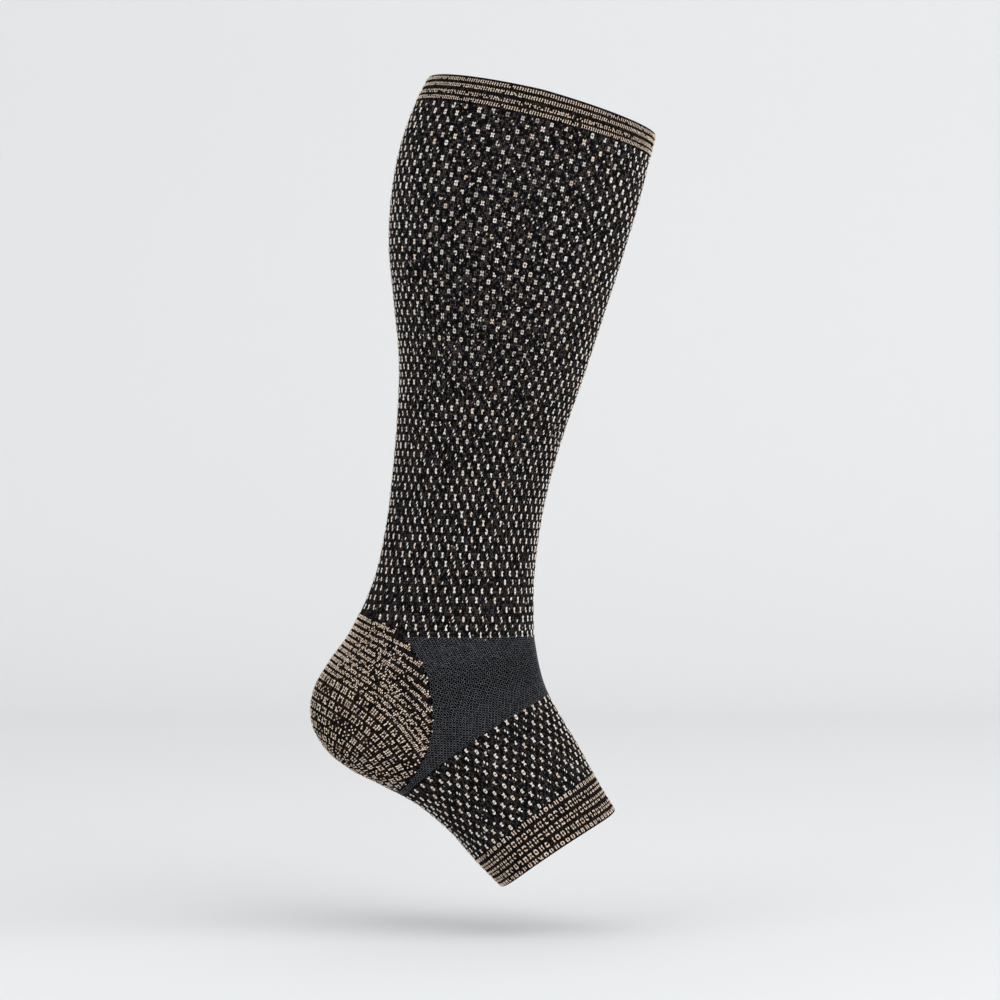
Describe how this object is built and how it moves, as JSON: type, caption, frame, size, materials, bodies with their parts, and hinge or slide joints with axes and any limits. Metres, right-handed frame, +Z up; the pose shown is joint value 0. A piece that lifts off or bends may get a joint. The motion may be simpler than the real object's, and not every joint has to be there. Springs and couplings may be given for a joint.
{
  "type": "open-toe calf compression sleeve with heel",
  "caption": "Knee-high knitted compression sleeve with an open toe, in its worn shape, with striped end cuffs, dotted panels and a shaped heel pouch.",
  "frame": {"origin": "centre of the knee opening, where the leg enters and the top band sits", "axes": "+X towards the toes, +Z up the leg, +Y to the wearer's left; the sleeve is the same on both sides of Y = 0"},
  "size_m": [0.1694, 0.1126, 0.396],
  "materials": {
    "black_dotted_knit": "matte black rib knit with staggered cream dots",
    "charcoal_mesh_knit": "matte charcoal fine mesh knit",
    "copper_knit": "copper and black yarn, slightly lustrous"
  },
  "bodies": {
    "root": {"knee_cuff": "copper_knit", "calf_panel": "black_dotted_knit", "ankle_panel": "charcoal_mesh_knit", "heel_pouch": "copper_knit", "foot_panel": "black_dotted_knit", "toe_cuff": "copper_knit"}
  },
  "joints": []
}
